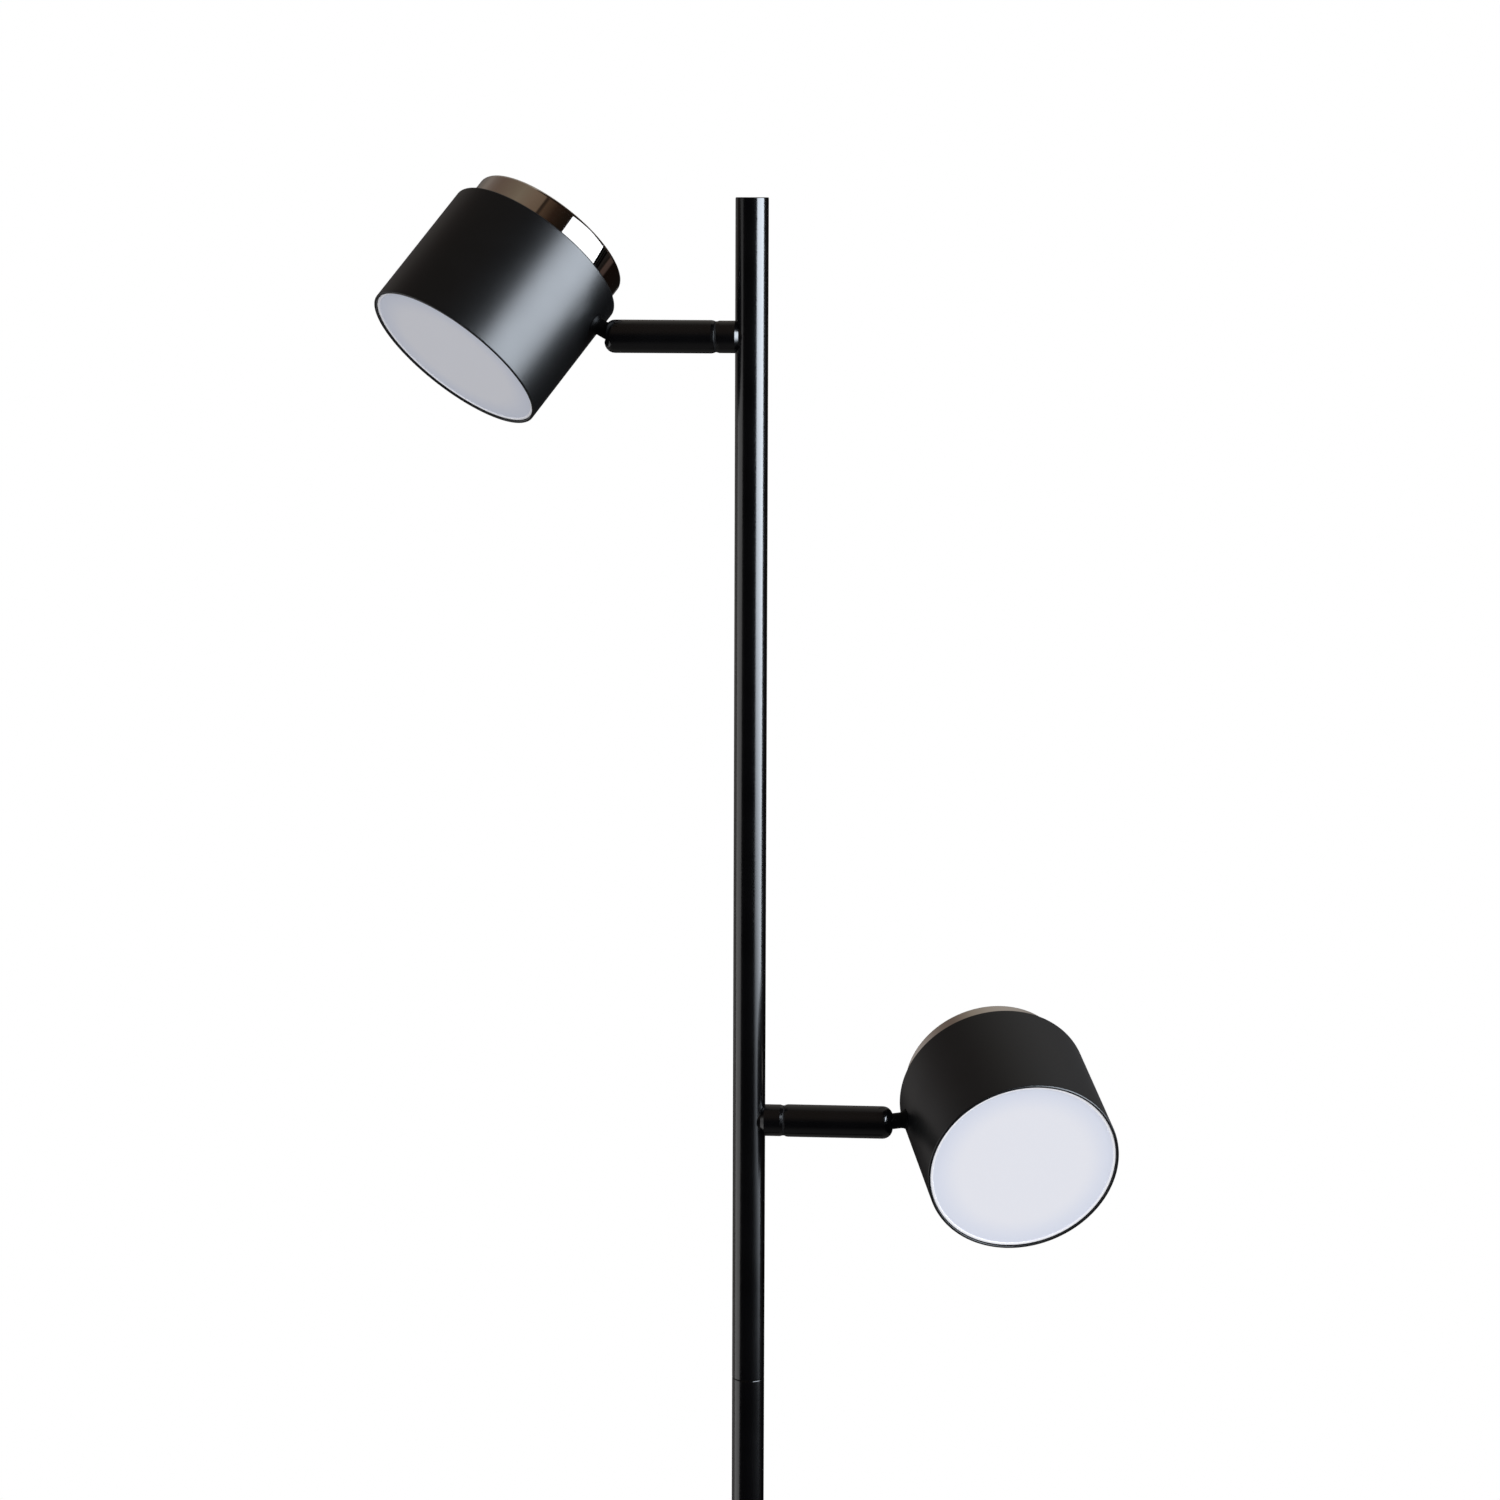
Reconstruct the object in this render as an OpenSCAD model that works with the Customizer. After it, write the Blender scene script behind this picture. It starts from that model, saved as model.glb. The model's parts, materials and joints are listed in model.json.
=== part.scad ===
// Floor lamp with two spotlights on short arms.
//
// A round weighted base carries a pole of three equal tube sections. Two
// short arms leave the pole on opposite sides: each turns about its own
// axis at a washer beside a saddle-cut collar, and ends in a slotted tip in
// which the neck of a drum-shaped spotlight tilts.
//
// Millimetres. The origin is the centre of the base's underside, +Z is up,
// the upper arm points along -X and the lower arm along +X. Every piece is
// drawn where it sits with the spotlights turned as they are at rest.

/* [Base] */
// Diameter of the base cover
base_d = 280; // [240:1:340]
// Height of the base cover's top face above the floor
base_height = 20; // [18:0.5:26]
// Radius of the cover's upper edge
base_edge_r = 5; // [3:0.5:5]
// Sheet thickness of the cover
cover_wall = 1.2; // [0.8:0.1:1.6]
// Thickness of the floor pad
pad_thickness = 2; // [1.5:0.5:3]
// Distance of the pad from the cover's outer face
pad_inset = 8; // [6:1:12]
// Thickness of the plate that closes the base
plate_thickness = 1; // [0.8:0.1:1.5]
// Space between the cast weight and the cover's side wall
weight_inset = 4.8; // [4.5:0.1:8]

/* [Cord inlet] */
// Bore of the cord bushing
inlet_bore_d = 6; // [5:0.5:7]
// Wall of the bushing around the bore
inlet_wall = 1.15; // [1:0.05:1.5]
// How far the bushing's flanges stand out beyond its body
inlet_flange = 1.6; // [1.2:0.1:2]
// Thickness of each bushing flange
inlet_flange_thickness = 1.4; // [1:0.1:2]

/* [Pole] */
// Outside diameter of the pole tube
pole_d = 16; // [15.5:0.1:18]
// Wall of the pole tube
pole_wall = 1.2; // [1:0.1:1.5]
// Length of each pole section
section_length = 582; // [500:1:700]
// Edge break on the ends of the pole sections
tube_edge = 0.5; // [0.2:0.1:0.7]
// Thread diameter of the studs between the sections
joint_stud_d = 10; // [9:0.5:10.5]
// Bore of those studs, which the wires pass through
joint_stud_bore = 7; // [5:0.5:7.5]
// Length of those studs
joint_stud_length = 24; // [18:1:30]
// Length of each threaded insert
insert_length = 14; // [13:0.5:20]
// Thickness of the washer under the pole's foot
foot_washer_thickness = 1.5; // [1:0.1:3]
// Diameter of that washer
foot_washer_d = 26; // [22:0.5:32]
// Length of the plug in the pole's top end
plug_length = 8; // [5:0.5:12]

/* [Arms] */
// Distance of the upper arm's axis below the pole's top end
upper_arm_drop = 66.5; // [50:0.5:120]
// Distance of the lower arm's axis below the pole's top end
lower_arm_drop = 451; // [400:0.5:480]
// Outside diameter of the arms
arm_d = 16; // [15.8:0.1:18]
// Wall of the arms
arm_wall = 1.4; // [1:0.1:1.4]
// Length of an arm from its washer to its tip
arm_length = 53.2; // [45:0.1:80]
// Radius of the rounded edge at the tip
tip_r = 5; // [3:0.1:5.2]
// Step from the arm's surface down to the collar's
collar_step = 0.2; // [0:0.1:0.5]
// Length of a collar outside the pole
collar_length = 9; // [7:0.1:12]
// Length of the bevels that face each other at the turning seam
bevel_length = 1.5; // [1:0.1:2.2]
// Depth of those bevels
bevel_depth = 0.4; // [0.3:0.1:0.9]
// Depth of the bevel round the collar's saddle
saddle_depth = 1.4; // [1.2:0.1:2]
// Length of the bevel round the collar's saddle
saddle_length = 2.5; // [2:0.1:3.5]
// Step from the bevel's low edge down to the washer in the seam
washer_step = 0.1; // [0:0.1:0.5]
// Thickness of the washer in the seam
seam_washer_thickness = 0.8; // [0.6:0.1:2]
// Thread diameter of the stud that an arm turns on
swivel_stud_d = 8; // [7.5:0.1:8]
// Bore of that stud
swivel_stud_bore = 4.8; // [4:0.1:5.5]
// Thickness of the web in the arm that turns on the stud
web_thickness = 2.5; // [2:0.1:4]
// Thickness of the spring washer behind the web
spring_thickness = 0.8; // [0.5:0.1:1.2]
// Thickness of the nut behind the spring washer
swivel_nut_thickness = 4.5; // [3.5:0.1:6]
// Space between that nut's corners and the arm's bore
swivel_nut_gap = 0.25; // [0.2:0.05:0.6]

/* [Knuckles] */
// Distance of the tilting axis from the tip of the arm
pivot_setback = 5.3; // [4.8:0.1:6]
// Diameter of the neck where it swings in the slot
neck_d = 7.8; // [7.5:0.1:8]
// Diameter of the pins that the neck tilts on
pivot_pin_d = 3; // [2.5:0.1:3]
// Solid metal between the arm's hollow and the slot
tip_web = 1.9; // [1.5:0.1:3]
// Reach of the neck from the tilting axis to the spotlight's side
neck_reach = 12; // [11.5:0.1:16]
// Diameter of the neck's flared foot on the spotlight
neck_foot_d = 10.8; // [10:0.1:12]
// Space between the arm and the neck's flare when the neck is square to it
flare_gap = 1; // [0.5:0.1:2]
// Thread diameter of the neck's end inside the spotlight
neck_thread_d = 6; // [5:0.1:6]
// Length of the thread that shows past a tightened nut
thread_end = 1; // [0.5:0.1:1.5]
// Bore through the neck for the wires
neck_bore = 3.2; // [2.5:0.1:3.2]
// Thickness of the nut that holds the neck
neck_nut_thickness = 4; // [3:0.1:5]

/* [Spotlights] */
// Outside diameter of the shell
shell_d = 94.7; // [90:0.1:110]
// Wall of the shell
shell_wall = 1.25; // [1:0.05:1.8]
// Length of the shell
shell_length = 68; // [64:0.2:90]
// Distance of the neck from the shell's rear end
neck_to_back = 15.9; // [14:0.1:20]
// Edge break on the shell's rear corner
shell_edge = 0.8; // [0.4:0.1:1.2]
// Thickness of the shell's rear flange
shell_flange = 2; // [1.5:0.1:2.5]
// Width of the step from the shell's side in to the bright rear cap
cap_step = 5.25; // [5:0.05:8]
// How far the rear cap stands out of the shell
cap_depth = 13.4; // [10:0.2:24]
// Radius of the rear cap's corner
cap_corner_r = 1.8; // [1.5:0.1:4]
// Sheet thickness of the rear cap
cap_wall = 1; // [0.8:0.1:1.4]
// Width of the rear cap's flange inside the shell
cap_flange = 3.2; // [2:0.1:3.5]
// Thickness of the diffuser
diffuser_thickness = 2.5; // [2:0.1:3]
// Depth of the diffuser's face behind the shell's front edge
diffuser_recess = 1; // [0.2:0.1:2]
// Distance of the heat sink's face behind the shell's front edge
sink_depth = 32; // [26:0.5:36]
// Sheet thickness of the heat sink
sink_wall = 2; // [1.5:0.1:2.5]
// Space between the neck's threaded end and the heat sink's skirt
skirt_gap = 0.95; // [0.5:0.05:2]
// Thickness of the reflector's sheet
reflector_wall = 0.8; // [0.6:0.1:1.2]
// Distance of the light board's edge from the shell's bore
board_inset = 9.85; // [8:0.05:16]
// Space between the light board's edge and the reflector's foot
board_gap = 1.8; // [0.5:0.1:3]
// Thickness of the light board
board_thickness = 1.2; // [1:0.1:2]
// Width of the reflector's lip behind the diffuser
reflector_lip = 2.2; // [1.5:0.1:3]
// Length of the driver
driver_length = 46; // [36:1:50]
// Width of the driver
driver_width = 34; // [26:1:38]
// Height of the driver
driver_height = 16; // [12:1:20]

/* [Rest pose] */
// Turn of the upper arm about its own axis
upper_swivel = 30.2; // [-90:0.1:90]
// Turn of the lower arm about its own axis
lower_swivel = -68.7; // [-90:0.1:90]
// Tilt of the upper spotlight at its knuckle
upper_tilt = 32; // [0:0.1:90]
// Tilt of the lower spotlight at its knuckle
lower_tilt = 14; // [0:0.1:90]

/* [Clearances] */
// Radial clearance of pieces that are pressed, screwed or brazed together
fit_gap = 0.03; // [0.02:0.01:0.05]
// Clearance of pieces that turn on each other
running_gap = 0.05; // [0.03:0.01:0.1]
// Clearance of the neck in its slot
swing_gap = 0.15; // [0.1:0.01:0.2]
// Clearance of loose covers, discs and bushings
cover_gap = 0.15; // [0.1:0.05:0.3]

/* [Hidden] */
$fn = 96;
UPPER = 0;
LOWER = 1;

PAINT = "#141417";
CHROME = "#b9b3ad";
OPAL = "#d9dde6";
STEEL = "#8c8f94";
RUBBER = "#1c1c1c";

// Base
base_r = base_d / 2;
cover_inner_r = base_r - cover_wall;
plate_top = pad_thickness + plate_thickness;
weight_top = base_height - cover_wall;
weight_r = cover_inner_r - weight_inset;
stud_r = joint_stud_d / 2;
base_nut_width = joint_stud_d * 1.7;
base_nut_r = base_nut_width / sqrt(3);
base_washer_r = base_nut_r * 1.2;
recess_r = base_washer_r * 1.2;
recess_top = plate_top + (weight_top - plate_top) / 2;
base_washer_thickness = joint_stud_d * 0.15;
base_nut_top = recess_top - base_washer_thickness;
base_nut_bottom = plate_top + plate_thickness / 2;

// Cord inlet
inlet_r = inlet_bore_d / 2;
inlet_body_r = inlet_r + inlet_wall;
inlet_flange_r = inlet_body_r + inlet_flange;
inlet_z = plate_top + inlet_flange_r + inlet_wall / 4;
channel_width = 2 * inlet_flange_r + inlet_wall;
channel_top = inlet_z + channel_width / 2;
// Rods along Y for the inlet start inside the base and end outside it
inlet_from = base_r / 2;
inlet_to = base_r * 1.5;

// Pole
pole_r = pole_d / 2;
pole_bore_r = pole_r - pole_wall;
pole_foot = base_height + foot_washer_thickness;
pole_top = pole_foot + 3 * section_length;
insert_recess = tube_edge / 2;
plug_recess = tube_edge * 0.6;
foot_washer_edge = foot_washer_thickness / 4;

// Arms, with x measured along the arm from the pole's axis
arm_z = [pole_top - upper_arm_drop, pole_top - lower_arm_drop];
arm_heading = [180, 0];
swivel = [upper_swivel, lower_swivel];
tilt = [upper_tilt, lower_tilt];
arm_r = arm_d / 2;
arm_bore_r = arm_r - arm_wall;
collar_r = arm_r - collar_step;
seam_washer_r = collar_r - bevel_depth - washer_step;
collar_end = pole_r + collar_length;
arm_start = collar_end + seam_washer_thickness;
arm_end = arm_start + arm_length;
swivel_stud_r = swivel_stud_d / 2;
web_end = arm_start + running_gap + web_thickness;
spring_start = web_end + running_gap;
swivel_nut_start = spring_start + spring_thickness;
swivel_nut_end = swivel_nut_start + swivel_nut_thickness;
swivel_nut_width = sqrt(3) * (arm_bore_r - swivel_nut_gap);
saddle_r = collar_r - saddle_depth;
saddle_x = sqrt(pole_r * pole_r - saddle_r * saddle_r);
swivel_stud_start = pole_bore_r - pole_wall;
swivel_stud_end = swivel_nut_end + thread_end;

// Knuckles, with x measured along the neck from the tilting axis
pivot_x = arm_end - pivot_setback;
neck_r = neck_d / 2;
neck_flare = neck_reach - arm_r - flare_gap;
eye_r = neck_r * 1.025;
eye_width = neck_d * 0.975;
slot_r = eye_r + swing_gap;
slot_width = neck_d + 2 * swing_gap;
pin_r = pivot_pin_d / 2;
pin_bore_r = pin_r + running_gap;
pin_bore_end = neck_bore * 0.625;
pin_start = pin_bore_end + swing_gap;
pin_end = arm_r - tip_r / 10;
wire_hole_r = neck_bore * 0.56;
neck_thread_r = neck_thread_d / 2;
neck_nut_width = neck_thread_d * 1.67;

// Spotlights, with u measured back from the shell's front edge
shell_r = shell_d / 2;
neck_to_face = shell_length - neck_to_back;
shell_bore_r = shell_r - shell_wall;
neck_nut_r = neck_nut_width / sqrt(3);
nut_seat = shell_bore_r - sqrt(pow(shell_bore_r, 2) - pow(neck_nut_r, 2));
neck_nut_start = neck_reach + shell_wall + nut_seat + fit_gap;
neck_nut_end = neck_nut_start + neck_nut_thickness;
neck_end = neck_nut_end + thread_end;
cap_r = shell_r - cap_step;
flange_front = shell_length - shell_flange;
cap_front = flange_front - cap_wall;
cap_back = shell_length + cap_depth;
diffuser_r = shell_bore_r - cover_gap;
diffuser_back = diffuser_recess + diffuser_thickness;
skirt_r = shell_r + neck_reach - neck_end - skirt_gap;
sink_foot_r = cap_r + cap_flange * 0.7;
board_r = shell_bore_r - board_inset;

// ---- Frames ----

// An arm's own frame: +X runs out along the arm.
module on_arm(side) {
    translate([0, 0, arm_z[side]])
        rotate([0, 0, arm_heading[side]])
            children();
}

// The same frame turned with the arm about its own axis.
module on_swivel(side) {
    on_arm(side) rotate([swivel[side], 0, 0]) children();
}

// The knuckle's frame: +X runs out along the neck from the tilting axis.
module on_knuckle(side) {
    on_swivel(side)
        translate([pivot_x, 0, 0])
            rotate([0, -tilt[side], 0])
                children();
}

// The spotlight's frame: +Z runs back from the centre of the front edge.
module in_spotlight(side) {
    on_knuckle(side)
        translate([neck_reach + shell_r, 0, -neck_to_face])
            children();
}

// ---- Shapes that repeat ----

// A revolved shape whose axis is X; its points are [radius, x].
module turned_along_x(points) {
    rotate([0, 90, 0]) rotate_extrude() polygon(points);
}

// A rod along X from one x to another.
module rod_x(radius, from, to) {
    translate([from, 0, 0])
        rotate([0, 90, 0])
            cylinder(r = radius, h = to - from);
}

// A rod along Y from one y to another.
module rod_y(radius, from, to) {
    translate([0, from, 0])
        rotate([-90, 0, 0])
            cylinder(r = radius, h = to - from);
}

module ring(outer_r, inner_r, from, to) {
    translate([0, 0, from])
        difference() {
            cylinder(r = outer_r, h = to - from);
            translate([0, 0, -1])
                cylinder(r = inner_r, h = to - from + 2);
        }
}

// A hexagon nut along Z, measured across its flats.
module nut(width, inner_r, from, to) {
    translate([0, 0, from])
        difference() {
            cylinder(r = width / sqrt(3), h = to - from, $fn = 6);
            translate([0, 0, -1])
                cylinder(r = inner_r, h = to - from + 2);
        }
}

// Half of a disc's section, from the axis out, with its far corner round.
module round_cornered(radius, height, corner) {
    square([radius - corner, height]);
    square([radius, height - corner]);
    intersection() {
        square([radius, height]);
        translate([radius - corner, height - corner]) circle(corner);
    }
}

// ---- Base ----

module base_pad() {
    color(RUBBER) cylinder(r = base_r - pad_inset, h = pad_thickness);
}

module base_plate() {
    color(STEEL)
        ring(cover_inner_r - cover_gap, recess_r, pad_thickness, plate_top);
}

// Cast disc with a recess for the foot nut and a channel for the cord.
module base_weight() {
    color(STEEL)
        difference() {
            ring(weight_r, stud_r + cover_gap, plate_top, weight_top);
            cylinder(r = recess_r, h = recess_top);
            translate([-channel_width / 2, 0, 0])
                cube([channel_width, base_r, channel_top]);
        }
}

// Pressed cover: the straight part of its side is as high as the inlet.
module base_cover() {
    edge_r = min(base_edge_r, base_height - inlet_z - inlet_flange_r);
    color(PAINT)
        difference() {
            rotate_extrude()
                difference() {
                    round_cornered(base_r, base_height, edge_r);
                    round_cornered(cover_inner_r, weight_top,
                                   edge_r - cover_wall);
                    square([stud_r + cover_gap, 2 * base_height]);
                    square([2 * base_r, pad_thickness]);
                }
            translate([0, 0, inlet_z])
                rod_y(inlet_body_r + running_gap, inlet_from, inlet_to);
        }
}

// Flanged bushing: its flanges follow the cover's round wall on both sides.
module cord_bushing() {
    flange_out = base_r + inlet_flange_thickness;
    flange_in = cover_inner_r - inlet_flange_thickness;
    chamfer = inlet_flange_thickness / 7;
    color(RUBBER)
        difference() {
            union() {
                intersection() {
                    translate([0, 0, inlet_z])
                        rod_y(inlet_flange_r, inlet_from, inlet_to);
                    union() {
                        ring(flange_out, base_r, 0, base_height);
                        ring(cover_inner_r, flange_in, 0, base_height);
                    }
                }
                intersection() {
                    translate([0, 0, inlet_z])
                        rod_y(inlet_body_r, inlet_from, inlet_to);
                    ring(flange_out - chamfer, flange_in + chamfer, 0, base_height);
                }
            }
            translate([0, 0, inlet_z])
                rod_y(inlet_r, inlet_from / 2, inlet_to * 1.5);
        }
}

module base_stud() {
    color(STEEL)
        ring(stud_r, joint_stud_bore / 2, plate_top + plate_thickness / 4,
             pole_foot + joint_stud_length / 2);
}

module base_washer() {
    color(STEEL)
        ring(base_washer_r, stud_r + fit_gap, base_nut_top, recess_top);
}

module base_nut() {
    color(STEEL)
        nut(base_nut_width, stud_r + fit_gap, base_nut_bottom, base_nut_top);
}

module foot_washer() {
    color(PAINT)
        rotate_extrude()
            polygon([[stud_r + cover_gap, base_height],
                     [foot_washer_d / 2, base_height],
                     [foot_washer_d / 2, pole_foot - foot_washer_edge],
                     [foot_washer_d / 2 - foot_washer_edge, pole_foot],
                     [stud_r + cover_gap, pole_foot]]);
}

// ---- Pole ----

// Tube section number 0, 1 or 2, counted from the base.
module pole_section(number) {
    translate([0, 0, pole_foot + number * section_length])
        rotate_extrude()
            polygon([[pole_bore_r, 0],
                     [pole_r - tube_edge, 0],
                     [pole_r, tube_edge],
                     [pole_r, section_length - tube_edge],
                     [pole_r - tube_edge, section_length],
                     [pole_bore_r, section_length]]);
}

module pole_lower() {
    color(PAINT) pole_section(0);
}

module pole_middle() {
    color(PAINT) pole_section(1);
}

// The top section has a hole for each arm's stud.
module pole_upper() {
    color(PAINT)
        difference() {
            pole_section(2);
            for (side = [UPPER, LOWER])
                on_arm(side)
                    rod_x(swivel_stud_r + fit_gap, pole_r / 4, collar_end);
        }
}

// Threaded insert inside a tube end: direction 1 is above the seam.
module tube_insert(seam, direction) {
    near = insert_recess;
    far = insert_recess + insert_length;
    color(STEEL)
        translate([0, 0, pole_foot + seam * section_length])
            ring(pole_bore_r - fit_gap, stud_r + fit_gap,
                 direction > 0 ? near : -far, direction > 0 ? far : -near);
}

module joint_stud(seam) {
    color(STEEL)
        translate([0, 0, pole_foot + seam * section_length])
            ring(stud_r, joint_stud_bore / 2,
                 -joint_stud_length / 2, joint_stud_length / 2);
}

module top_plug() {
    color(PAINT)
        translate([0, 0, pole_top - plug_recess - plug_length])
            cylinder(r = pole_bore_r - fit_gap, h = plug_length);
}

// ---- Arms ----

// Collar brazed to the pole: coped to the tube, bevelled at both ends.
module collar(side) {
    color(PAINT)
        on_arm(side)
            difference() {
                turned_along_x([
                    [swivel_stud_r + fit_gap, pole_r / 4],
                    [saddle_r, pole_r / 4],
                    [saddle_r, saddle_x],
                    [collar_r, saddle_x + saddle_length],
                    [collar_r, collar_end - bevel_length],
                    [collar_r - bevel_depth, collar_end],
                    [swivel_stud_r + fit_gap, collar_end]]);
                cylinder(r = pole_r + fit_gap, h = 4 * arm_d, center = true);
            }
}

// Hollow stud from inside the pole, through the collar, into the arm.
module swivel_stud(side) {
    color(STEEL)
        on_arm(side)
            turned_along_x([
                [swivel_stud_bore / 2, swivel_stud_start],
                [swivel_stud_r, swivel_stud_start],
                [swivel_stud_r, swivel_stud_end],
                [swivel_stud_bore / 2, swivel_stud_end]]);
}

module seam_washer(side) {
    color(PAINT)
        on_arm(side)
            turned_along_x([
                [swivel_stud_r + fit_gap, collar_end],
                [seam_washer_r, collar_end],
                [seam_washer_r, arm_start],
                [swivel_stud_r + fit_gap, arm_start]]);
}

module spring_washer(side) {
    color(STEEL)
        on_arm(side)
            turned_along_x([
                [swivel_stud_r + fit_gap, spring_start],
                [swivel_nut_width / 2, spring_start],
                [swivel_nut_width / 2, swivel_nut_start],
                [swivel_stud_r + fit_gap, swivel_nut_start]]);
}

module swivel_nut(side) {
    color(STEEL)
        on_arm(side)
            rotate([0, 90, 0])
                nut(swivel_nut_width, swivel_stud_r + fit_gap,
                    swivel_nut_start, swivel_nut_end);
}

// The space that the neck sweeps in the tip, from straight to square.
module neck_slot() {
    rod_y(slot_r, -slot_width / 2, slot_width / 2);
    translate([-slot_r, -slot_width / 2, 0])
        cube([slot_r + 2 * arm_d, slot_width, 2 * arm_d]);
    translate([0, -slot_width / 2, -slot_r])
        cube([2 * arm_d, slot_width, slot_r + arm_d]);
}

// Hollow arm with a web to turn on and a solid, rounded, slotted tip.
module arm(side) {
    hollow_end = pivot_x - slot_r - tip_web;
    color(PAINT)
        on_swivel(side)
            difference() {
                rotate([0, 90, 0])
                    rotate_extrude()
                        difference() {
                            round_cornered(arm_r, arm_end, tip_r);
                            square([2 * arm_r, arm_start + running_gap]);
                            polygon([
                                [arm_r - bevel_depth, arm_start],
                                [arm_r - bevel_depth,
                                 arm_start + running_gap],
                                [arm_r, arm_start + bevel_length],
                                [2 * arm_r, arm_start + bevel_length],
                                [2 * arm_r, arm_start]]);
                        }
                rod_x(swivel_stud_r + running_gap, 0, web_end + 1);
                rod_x(arm_bore_r, web_end, hollow_end);
                rod_x(wire_hole_r, hollow_end - 1, arm_end + 1);
                translate([pivot_x, 0, 0]) {
                    neck_slot();
                    rod_y(pin_r + fit_gap / 2, -arm_d, arm_d);
                }
            }
}

// Stub pin pressed into one cheek of the slot: face -1 or 1 along Y.
module pivot_pin(side, face) {
    color(PAINT)
        on_swivel(side)
            translate([pivot_x, 0, 0])
                if (face > 0)
                    rod_y(pin_r, pin_start, pin_end);
                else
                    rod_y(pin_r, -pin_end, -pin_start);
}

// ---- Necks ----

// Half section of the rod and its foot, which flares in a hollow curve.
module flared_rod(from, flare_start) {
    flare_r = neck_foot_d / 2;
    widening = flare_r - neck_r;
    curve_r = (pow(neck_flare, 2) + pow(widening, 2)) / (2 * widening);
    translate([0, from]) square([neck_r, flare_start - from]);
    translate([0, flare_start])
        difference() {
            square([flare_r, neck_flare + shell_wall]);
            translate([neck_r + curve_r, 0]) circle(curve_r);
        }
}

// Eye, rod and flared foot, whose end is coped to the round shell.
module neck(side) {
    flare_start = neck_reach - neck_flare;
    color(PAINT)
        on_knuckle(side)
            difference() {
                union() {
                    rod_y(eye_r, -eye_width / 2, eye_width / 2);
                    difference() {
                        rotate([0, 90, 0])
                            rotate_extrude()
                                flared_rod(eye_r / 2, flare_start);
                        translate([neck_reach + shell_r, 0, 0])
                            cylinder(r = shell_r + fit_gap,
                                     h = 4 * neck_foot_d, center = true);
                    }
                    rod_x(neck_thread_r, flare_start, neck_end);
                }
                rod_x(neck_bore / 2, -2 * eye_r, 2 * neck_end);
                rod_y(pin_bore_r, pin_bore_end, neck_d);
                rod_y(pin_bore_r, -neck_d, -pin_bore_end);
            }
}

module neck_nut(side) {
    color(STEEL)
        on_knuckle(side)
            rotate([0, 90, 0])
                nut(neck_nut_width, neck_thread_r + fit_gap,
                    neck_nut_start, neck_nut_end);
}

// ---- Spotlights ----

// Drum with a thin front edge and a rear flange that traps the cap.
module shell(side) {
    front = shell_wall / 4;
    color(PAINT)
        difference() {
            in_spotlight(side)
                rotate_extrude()
                    polygon([[shell_bore_r, 0],
                             [shell_r - front, 0],
                             [shell_r, front],
                             [shell_r, shell_length - shell_edge],
                             [shell_r - shell_edge, shell_length],
                             [cap_r + cover_gap, shell_length],
                             [cap_r + cover_gap, flange_front],
                             [shell_bore_r, flange_front]]);
            on_knuckle(side)
                rod_x(neck_thread_r + fit_gap, 0, neck_end);
        }
}

// Drawn cup with a round corner, held by its flange inside the shell.
module rear_cap(side) {
    color(CHROME)
        in_spotlight(side)
            rotate_extrude()
                difference() {
                    union() {
                        round_cornered(cap_r, cap_back, cap_corner_r);
                        square([cap_r + cap_flange, flange_front]);
                    }
                    round_cornered(cap_r - cap_wall, cap_back - cap_wall,
                                   cap_corner_r - cap_wall);
                    square([2 * cap_r, cap_front]);
                }
}

// Plate for the light board, with a skirt back to the cap's flange.
module heat_sink(side) {
    color(STEEL)
        in_spotlight(side)
            rotate_extrude()
                polygon([[0, sink_depth],
                         [diffuser_r, sink_depth],
                         [diffuser_r, sink_depth + sink_wall],
                         [skirt_r, sink_depth + sink_wall],
                         [skirt_r, cap_front - sink_wall],
                         [sink_foot_r, cap_front - sink_wall],
                         [sink_foot_r, cap_front],
                         [skirt_r - sink_wall, cap_front],
                         [skirt_r - sink_wall, sink_depth + sink_wall],
                         [0, sink_depth + sink_wall]]);
}

module light_board(side) {
    color("white")
        in_spotlight(side)
            translate([0, 0, sink_depth - board_thickness])
                cylinder(r = board_r, h = board_thickness);
}

module driver(side) {
    color("white")
        in_spotlight(side)
            translate([-driver_length / 2, -driver_width / 2,
                       sink_depth + sink_wall])
                cube([driver_length, driver_width, driver_height]);
}

// White cone from the back of the diffuser to the heat sink's plate.
module reflector(side) {
    mouth_r = diffuser_r - reflector_lip;
    foot_r = board_r + board_gap;
    color("white")
        in_spotlight(side)
            rotate_extrude()
                polygon([[mouth_r, diffuser_back],
                         [diffuser_r, diffuser_back],
                         [diffuser_r, diffuser_back + reflector_wall],
                         [mouth_r + reflector_wall,
                          diffuser_back + reflector_wall],
                         [foot_r + reflector_wall, sink_depth],
                         [foot_r, sink_depth]]);
}

module diffuser(side) {
    color(OPAL)
        in_spotlight(side)
            translate([0, 0, diffuser_recess])
                cylinder(r = diffuser_r, h = diffuser_thickness);
}

base_pad();
base_plate();
base_weight();
base_cover();
cord_bushing();
base_stud();
base_washer();
base_nut();
foot_washer();
tube_insert(0, 1);  // foot_insert
pole_lower();
pole_middle();
pole_upper();
top_plug();
tube_insert(1, -1);  // joint1_insert_lower
tube_insert(1, 1);  // joint1_insert_upper
joint_stud(1);  // joint1_stud
tube_insert(2, -1);  // joint2_insert_lower
tube_insert(2, 1);  // joint2_insert_upper
joint_stud(2);  // joint2_stud

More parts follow.
